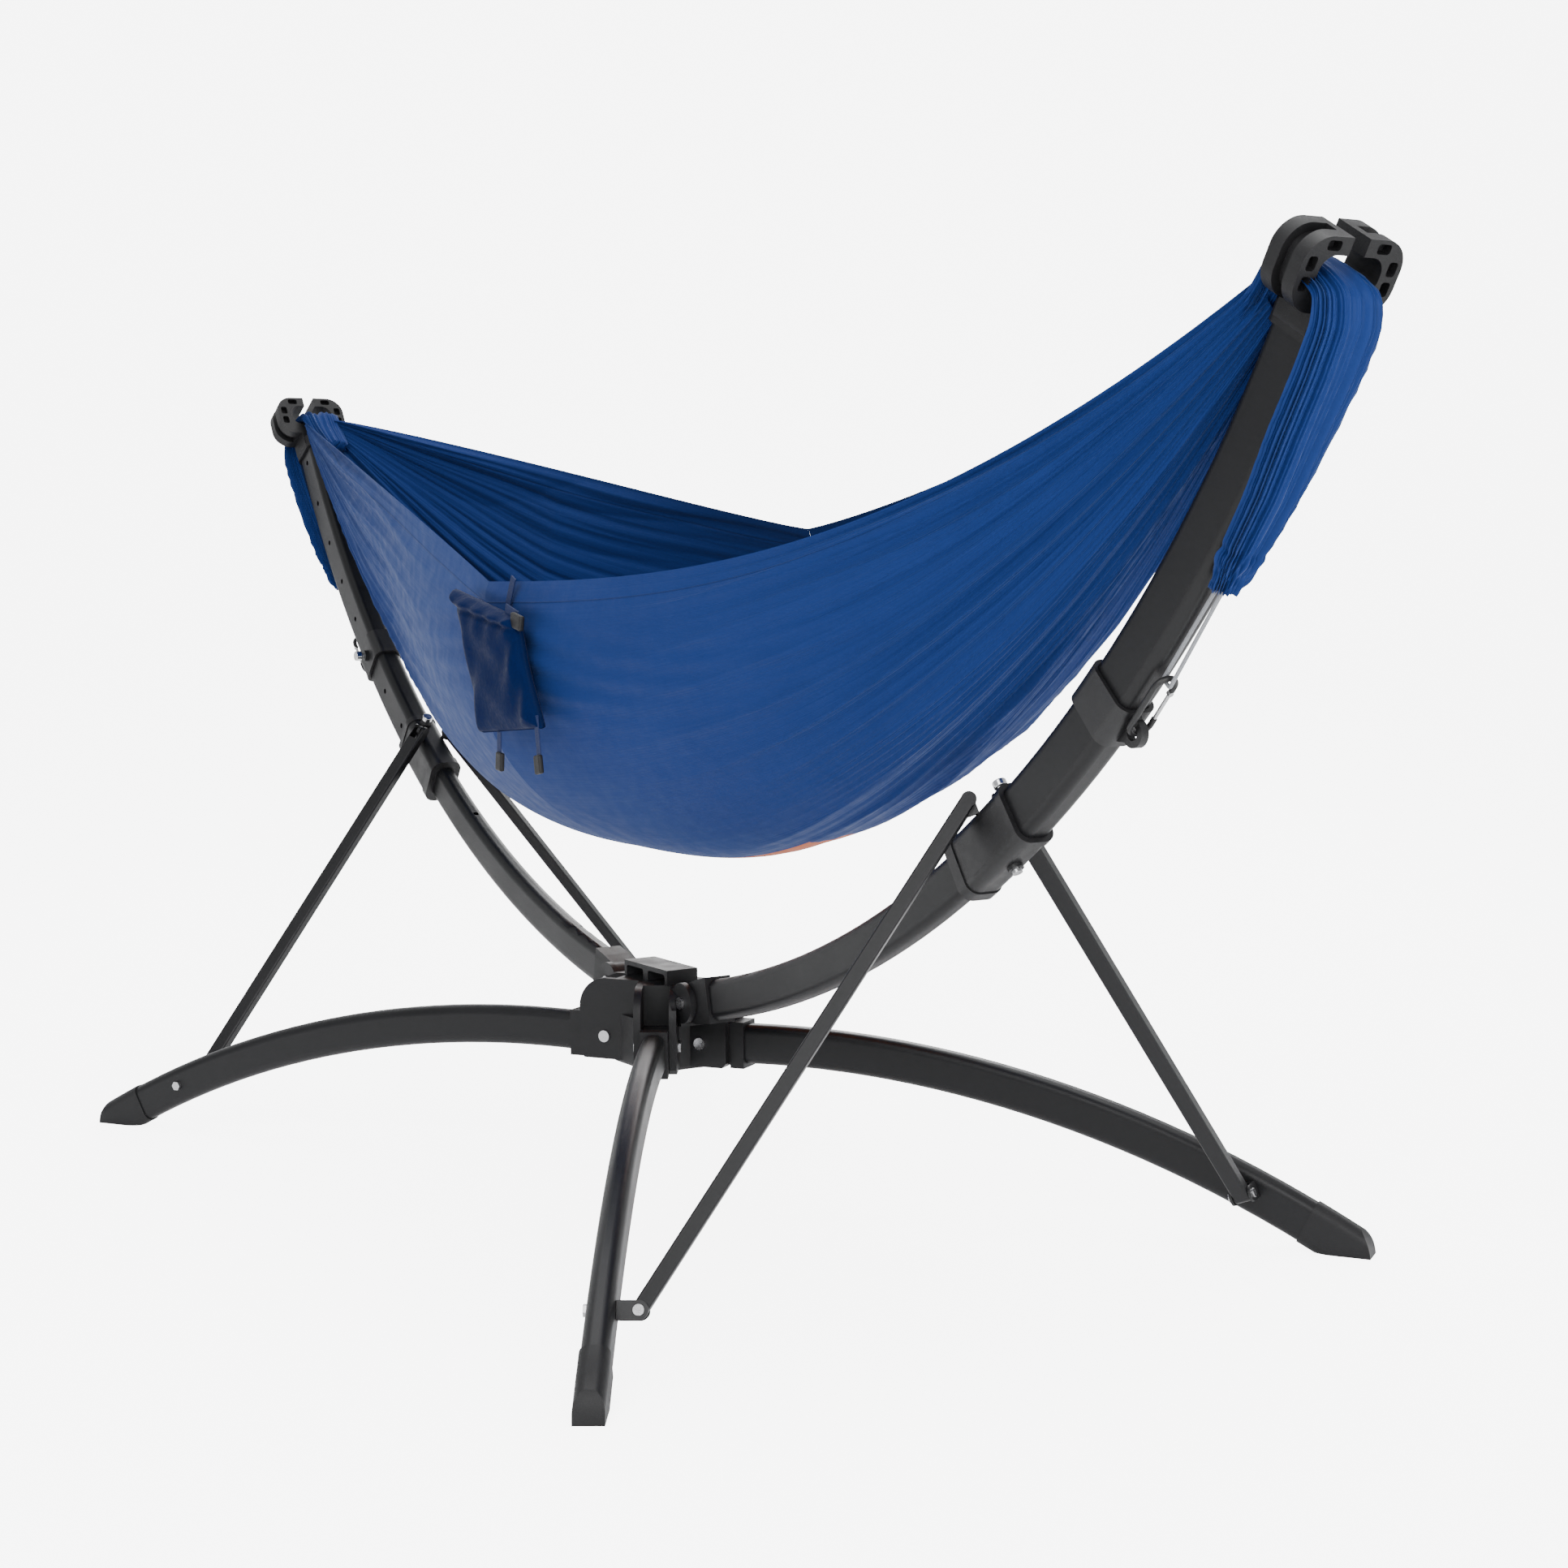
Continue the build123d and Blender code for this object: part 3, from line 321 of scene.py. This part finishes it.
def hammock_points(side):
    """Half of the hammock: an upright ellipse blended with a round belly, plus its pleats."""
    sign = 1 if side == "right" else -1
    t = np.linspace(0, 1, ROWS)[:, None]
    v = np.linspace(0, 1, COLUMNS)[None, :]
    taper = 1 - t**2 if side == "right" else 1 - t
    near_y = -(0.026 + 0.202 * taper)
    far_y = 0.026 + 0.202 * (1 - t**2) ** (1.1 if side == "right" else 0.8)
    near_z = 0.768 + 0.258 * t ** (3.0 if side == "right" else 0.97)
    far_z = 0.831 + 0.199 * t**1.15
    keel_z = 0.427 + 0.563 * t**2.2
    # the round belly: a circle through near rim, keel and far rim
    ay, az, by, bz = near_y, near_z - keel_z, far_y, far_z - keel_z
    cross = 2 * (ay * bz - az * by)
    centre_y = (bz * (ay**2 + az**2) - az * (by**2 + bz**2)) / cross
    centre_z = (ay * (by**2 + bz**2) - by * (ay**2 + az**2)) / cross
    radius = np.hypot(centre_y, centre_z)
    start = np.arctan2(az - centre_z, ay - centre_y)
    start = np.where(start > 0, start - 2 * np.pi, start)
    stop = np.arctan2(bz - centre_z, by - centre_y)
    keel_angle = np.arctan2(-centre_z, -centre_y)
    angle = np.where(
        v < 0.5, start + (keel_angle - start) * v * 2, keel_angle + (stop - keel_angle) * (v * 2 - 1)
    )
    round_y, round_z = centre_y + radius * np.cos(angle), centre_z + radius * np.sin(angle)
    turn = np.pi * v
    rim_y, rim_z = np.where(v < 0.5, near_y, far_y), np.where(v < 0.5, az, bz)
    upright_y, upright_z = np.abs(np.cos(turn)) * rim_y, rim_z * (1 - np.sin(turn))
    roundness = np.clip(1 - t * SPAN / (1.5 if side == "right" else 0.62), 0, 1)
    y = upright_y * (1 - roundness) + round_y * roundness
    z = keel_z + upright_z * (1 - roundness) + round_z * roundness
    x = np.broadcast_to(t * SPAN, y.shape)
    shape = np.stack([x, y, z], axis=-1)
    outward = np.cross(np.gradient(shape, axis=0), np.gradient(shape, axis=1))
    outward /= np.linalg.norm(outward, axis=-1, keepdims=True)
    girth = np.linalg.norm(np.diff(shape, axis=1), axis=-1).sum(axis=1)[:, None]
    far_share = smooth(v, 0.5, 0.7)
    drift = v + 0.006 * np.sin(5 * t + 9 * v) + 0.004 * np.sin(11 * t + 23 * v)
    depth = 0
    for folds, height, begin, full, seed, keep in (
        (7, 0.015, 0.15, 0.8, 3, 0.05),
        (17, 0.014, 0.12, 0.75, 4, 0.4),
        (37, 0.0082, 0.15, 0.8, 5, 0.7),
        (71, 0.0040, 0.25, 0.9, 6, 0.45),
    ):
        chosen = 0.15 + 0.85 * wander(drift, folds // 2, seed) ** 1.5
        reach = smooth(t, begin, full) + keep * far_share * (1 - smooth(t, begin, full))
        limit = np.minimum(height, 0.42 * girth / folds)
        phase = folds * drift + 0.8 * wander(drift, 6, seed + 20) + 0.25 * np.sin(6 * t + seed)
        depth = depth + crease(phase, 0.7) * limit * chosen * reach
    # slack waves low on the near side, and lines of pull from the corner of the rim
    near_share = smooth(v, 0.04, 0.2) * (1 - smooth(v, 0.5, 0.6))
    depth = depth + 0.005 * np.sin(7 * t + 12 * v) * near_share * (1 - smooth(t, 0.3, 0.8))
    pull = np.exp(-(((v - 0.08 - 0.16 * t) / 0.06) ** 2)) * np.exp(-t / 0.3)
    depth = depth + 0.0030 * pull * np.sin(2 * np.pi * (v - 0.22 * t) * 30)
    settled = smooth(v, 0, 0.015) * (1 - smooth(v, 0.985, 1)) 
    shape = shape - outward * (depth * settled)[..., None]
    shape[..., 0] *= sign
    return shape, sign * t * SPAN, v


def grid_faces(rows, columns, flip):
    first = np.arange(rows - 1)[:, None] * columns + np.arange(columns - 1)[None, :]
    quad = np.stack([first, first + 1, first + columns + 1, first + columns], axis=-1).reshape(-1, 4)
    return quad[:, ::-1] if flip else quad


for side, sign in (("right", 1), ("left", -1)):
    points, along, across = hammock_points(side)
    faces = grid_faces(ROWS, COLUMNS, sign > 0)
    half = add_mesh(f"hammock_cloth_{side}", points.reshape(-1, 3), faces, fabric, None)
    uv = half.data.uv_layers.new(name="cloth")
    coordinates = np.stack(np.broadcast_arrays(along, across), axis=-1).reshape(-1, 2)
    corner_vertices = np.array([loop.vertex_index for loop in half.data.loops])
    uv.data.foreach_set("uv", coordinates[corner_vertices].ravel())
    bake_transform(half)
    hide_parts(f"hammock_{side}")

# ------------------------------------------------------------------ gathered ends
# Each end of the cloth is drawn together, goes over the hook's saddle and hangs down
# the outside of the mast to a stitched band where the cord comes out.
tail_fabric, tail_shader, tail_place = new_material(
    "tail_fabric", Sheen_Weight=0.12, Sheen_Roughness=0.5, Specular_IOR_Level=0.12
)
tail_shader.inputs["Sheen Tint"].default_value = (0.3, 0.5, 1.0, 1)
tail_shader.inputs["Specular Tint"].default_value = (0.5, 0.7, 1.0, 1)
tail_uv = tail_place.node("ShaderNodeUVMap", {}, uv_map="cloth")
tail_crumple = tail_uv.noise(24.0, 5.0)
link(
    tail_shader,
    Base_Color=tail_crumple.blend((0.0085, 0.0230, 0.112), (0.0115, 0.0300, 0.136)),
    Roughness=tail_crumple.remap(0.3, 0.7, 0.34, 0.46),
    Normal=bump(tail_crumple, tail_crumple, 0.3, 0.001),
)
TAIL_ROUTE = [
    (1.085, 0.983, 0.046, 0.026), (1.123, 1.012, 0.054, 0.020), (1.146, 1.037, 0.060, 0.016),
    (1.165, 1.032, 0.062, 0.014), (1.190, 1.017, 0.068, 0.014), (1.209, 1.000, 0.074, 0.015),
    (1.207, 0.975, 0.076, 0.018), (1.185, 0.937, 0.074, 0.020), (1.152, 0.888, 0.068, 0.021),
    (1.120, 0.838, 0.058, 0.021), (1.088, 0.796, 0.050, 0.021), (1.073, 0.777, 0.044, 0.020),
    (1.065, 0.767, 0.036, 0.018), (1.057, 0.757, 0.026, 0.013),
]
for side, sign in (("right", 1), ("left", -1)):
    route = np.array(TAIL_ROUTE)
    lengths = np.concatenate([[0], np.cumsum(np.hypot(*np.diff(route[:, :2], axis=0).T))])
    station = np.linspace(0, lengths[-1], 200)
    fine = np.stack([np.interp(station, lengths, route[:, k]) for k in range(4)], axis=-1)
    for _ in range(14):
        fine[1:-1] = (fine[:-2] + 2 * fine[1:-1] + fine[2:]) / 4
    ahead = np.gradient(fine[:, :2], axis=0)
    ahead /= np.linalg.norm(ahead, axis=1)[:, None]
    around = np.linspace(0, 2 * np.pi, 400, endpoint=False)
    share = station[:, None] / lengths[-1]
    turn = around[None, :]
    place = turn / (2 * np.pi)
    ripple = 0
    for folds, height, seed in ((11, 0.0044, 8), (27, 0.0048, 9), (47, 0.0030, 10)):
        strength = 0.35 + 0.65 * wander(place, folds // 2, seed)
        bent = place + 0.008 * np.sin(7 * share + 9 * place)
        ripple = ripple + height * strength * crease(folds * bent, 0.7)
    band = np.exp(-(((share - 0.90) / 0.010) ** 2))
    squeeze = 1 - 0.10 * band
    cut = 0.0022 * np.sin(26 * turn + 60 * share) * smooth(share, 0.86, 0.95)
    flat_cos = np.sign(np.cos(turn)) * np.abs(np.cos(turn)) ** 0.75
    flat_sin = np.sign(np.sin(turn)) * np.abs(np.sin(turn)) ** 0.75
    across = (fine[:, 2:3] / 2 + ripple + cut) * flat_cos * squeeze
    thick = (fine[:, 3:4] / 2 + ripple + cut) * flat_sin * squeeze
    x = sign * (fine[:, 0:1] + thick * -ahead[:, 1:2])
    y = -0.006 * sign + across * sign
    z = fine[:, 1:2] + thick * ahead[:, 0:1]
    shape = np.stack([x, y, z], axis=-1)
    rows, columns = shape.shape[:2]
    faces = [
        (r * columns + c, r * columns + after, (r + 1) * columns + after, (r + 1) * columns + c)
        for r in range(rows - 1)
        for c, after in zip(range(columns), [*range(1, columns), 0])
    ]
    faces += [tuple(range(columns))[::-1], tuple(range((rows - 1) * columns, rows * columns))]
    tail = add_mesh(f"gathered_end_{side}", shape.reshape(-1, 3), faces, tail_fabric, f"mast_{side}")
    uv = tail.data.uv_layers.new(name="cloth")
    flat = np.stack(np.broadcast_arrays(share * 0.5, place), axis=-1).reshape(-1, 2)
    uv.data.foreach_set("uv", flat[[loop.vertex_index for loop in tail.data.loops]].ravel())
    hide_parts(f"hammock_tail_{side}")

# ------------------------------------------------------------------ stuff sack
# A flat drawstring sack hangs askew from a loop on the near hem: rolled mouth, soft
# belly, a side buckle and two buckle halves on short straps below.
cloth, cloth_shader, cloth_place = new_material(
    "sack_fabric", Sheen_Weight=0.02, Sheen_Roughness=0.5, Specular_IOR_Level=0.03
)
cloth_grain = cloth_place.noise(160.0, 6.0)
link(
    cloth_shader,
    Base_Color=cloth_grain.blend((0.0006, 0.0055, 0.036), (0.0010, 0.0080, 0.048)),
    Roughness=cloth_grain.remap(0.3, 0.7, 0.45, 0.6),
    Normal=bump(cloth_grain, cloth_grain, 0.35, 0.0012),
)
SACK_PLANE = -0.2537
corner = {
    "top_left": (-0.040, 0.760), "top_right": (0.130, 0.727),
    "low_right": (0.192, 0.601), "low_left": (0.031, 0.588),
}
CELLS = 90
u = np.linspace(0, 1, CELLS)[None, :]
w = np.linspace(0, 1, CELLS)[:, None]
top = [corner["top_left"][k] * (1 - u) + corner["top_right"][k] * u for k in (0, 1)]
low = [corner["low_left"][k] * (1 - u) + corner["low_right"][k] * u for k in (0, 1)]
narrow = 1 - 0.07 * np.sin(np.pi * w) ** 2
flat_x, flat_z = (top[k] * (1 - w) + low[k] * w for k in (0, 1))
middle_x = flat_x.mean(axis=1, keepdims=True)
flat_x = middle_x + (flat_x - middle_x) * narrow
edge = np.minimum(np.minimum(u, 1 - u), np.minimum(w, 1 - w) * 1.1)
inset = np.clip(edge / 0.16, 0, 1)
puff = np.sqrt(inset * (2 - inset))
wrinkle = 0.0022 * np.sin(9 * u + 14 * w + 2 * np.sin(7 * u)) * smooth(w, 0.1, 0.35)
wrinkle = wrinkle + 0.0016 * np.sin(26 * u + 5 * np.sin(5 * w)) * np.exp(-((w / 0.25) ** 2))
roll = 0.007 * np.exp(-(((w - 0.06) / 0.045) ** 2)) - 0.003 * np.exp(-(((w - 0.125) / 0.02) ** 2))
front_y = SACK_PLANE - (0.0125 + wrinkle + roll) * puff
back_y = SACK_PLANE + 0.0115 * puff
front = np.stack(np.broadcast_arrays(flat_x, front_y, flat_z), axis=-1).reshape(-1, 3)
back = np.stack(np.broadcast_arrays(flat_x, back_y, flat_z), axis=-1).reshape(-1, 3)
front_faces = grid_faces(CELLS, CELLS, True)
back_faces = front_faces[:, ::-1] + CELLS * CELLS
border = list(range(CELLS)) + [r * CELLS + CELLS - 1 for r in range(1, CELLS)]
border += list(range(CELLS * CELLS - 2, CELLS * (CELLS - 1) - 1, -1))
border += [r * CELLS for r in range(CELLS - 2, 0, -1)]
rim_faces = [
    (b, a, a + CELLS * CELLS, b + CELLS * CELLS) for a, b in zip(border, border[1:] + border[:1])
]
sack = add_mesh(
    "stuff_sack_soft", np.concatenate([front, back]),
    [tuple(f) for f in front_faces] + [tuple(f) for f in back_faces] + rim_faces, cloth, "stand",
)
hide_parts("stuff_sack")

webbing, webbing_shader, webbing_place = new_material("webbing", Specular_IOR_Level=0.3)
ribs = webbing_place.noise(520.0, 2.0)
link(
    webbing_shader,
    Base_Color=ribs.blend((0.0025, 0.008, 0.04), (0.006, 0.018, 0.085)),
    Roughness=ribs.remap(0.3, 0.7, 0.55, 0.7),
    Normal=bump(ribs, ribs, 0.4, 0.0006),
)
for name, paint, centre, size, tilt in (
    ("strap_left", webbing, (0.083, -0.2575, 0.577), (0.010, 0.0016, 0.030), 4),
    ("strap_right", webbing, (0.186, -0.2575, 0.590), (0.010, 0.0016, 0.052), -8),
    ("buckle_left", nylon, (0.086, -0.2585, 0.557), (0.015, 0.006, 0.022), 6),
    ("buckle_right", nylon, (0.189, -0.2585, 0.560), (0.015, 0.006, 0.022), -10),
    ("buckle_side", nylon, (0.140, -0.2585, 0.722), (0.026, 0.007, 0.018), 12),
    ("strap_side", webbing, (0.118, -0.2545, 0.733), (0.034, 0.0018, 0.011), 16),
    ("loop_tab", webbing, (0.082, -0.238, 0.757), (0.012, 0.0020, 0.036), 28),
):
    corners = [
        (sx * size[0] / 2, sy * size[1] / 2, sz * size[2] / 2)
        for sx in (-1, 1) for sy in (-1, 1) for sz in (-1, 1)
    ]
    turned = Matrix.Translation(centre) @ Matrix.Rotation(math.radians(tilt), 4, "Y")
    sides = [(0, 1, 3, 2), (4, 6, 7, 5), (0, 4, 5, 1), (2, 3, 7, 6), (0, 2, 6, 4), (1, 5, 7, 3)]
    block = add_mesh(name, [turned @ Vector(c) for c in corners], sides, paint, None)
    block.data.shade_flat()
    rounding = block.modifiers.new("round", "BEVEL")
    rounding.width, rounding.segments = min(size) * 0.35, 3
    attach(block, "stand")

# ------------------------------------------------------------------ cords to the carabiners
# A thin braided loop leaves each gathered end, goes round its carabiner and comes back. Two
# extra points on each run hold it straight, as it is pulled tight.
rope, rope_shader, rope_place = new_material("cord")
braid = rope_place.node("ShaderNodeTexWave", {"Vector": rope_place, "Scale": 260.0, "Distortion": 3.0})
link(
    rope_shader,
    Base_Color=braid.blend((0.12, 0.13, 0.15), (0.42, 0.43, 0.45)),
    Roughness=braid.remap(0.0, 1.0, 0.6, 0.8),
    Normal=bump(braid, braid, 0.6, 0.0008),
)
CORD_ROUTE = [
    (1.0620, -0.0110, 0.7564), (0.9786, 0.0, 0.6670), (0.9695, 0.0, 0.6753), (1.0501, -0.0010, 0.7671),
]
for side, sign in (("right", 1), ("left", -1)):
    curve = bpy.data.curves.new(f"cord_{side}", "CURVE")
    curve.dimensions = "3D"
    spline = curve.splines.new("NURBS")
    control = []
    for start, stop in zip(CORD_ROUTE[:-1], CORD_ROUTE[1:]):
        gap = math.dist(start, stop)
        inner = min(0.006, 0.45 * gap) / gap
        control += [start] + [
            tuple(a + (b - a) * share for a, b in zip(start, stop)) for share in (inner, 1 - inner)
        ]
    control = [CORD_ROUTE[0]] + control[2:] + [CORD_ROUTE[-1]]
    spline.points.add(len(control) - 1)
    for point, (x, y, z) in zip(spline.points, control):
        point.co = (sign * x, sign * y, z, 1)
    spline.order_u = 3
    spline.use_endpoint_u = True
    curve.bevel_depth = 0.002
    curve.bevel_resolution = 5
    curve.resolution_u = 8
    curve.materials.append(rope)
    loop = bpy.data.objects.new(f"cord_{side}", curve)
    bpy.context.collection.objects.link(loop)
    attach(loop, f"ring_{side}")
    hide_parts(f"cord_loop_{side}")
    start = CORD_ROUTE[0]
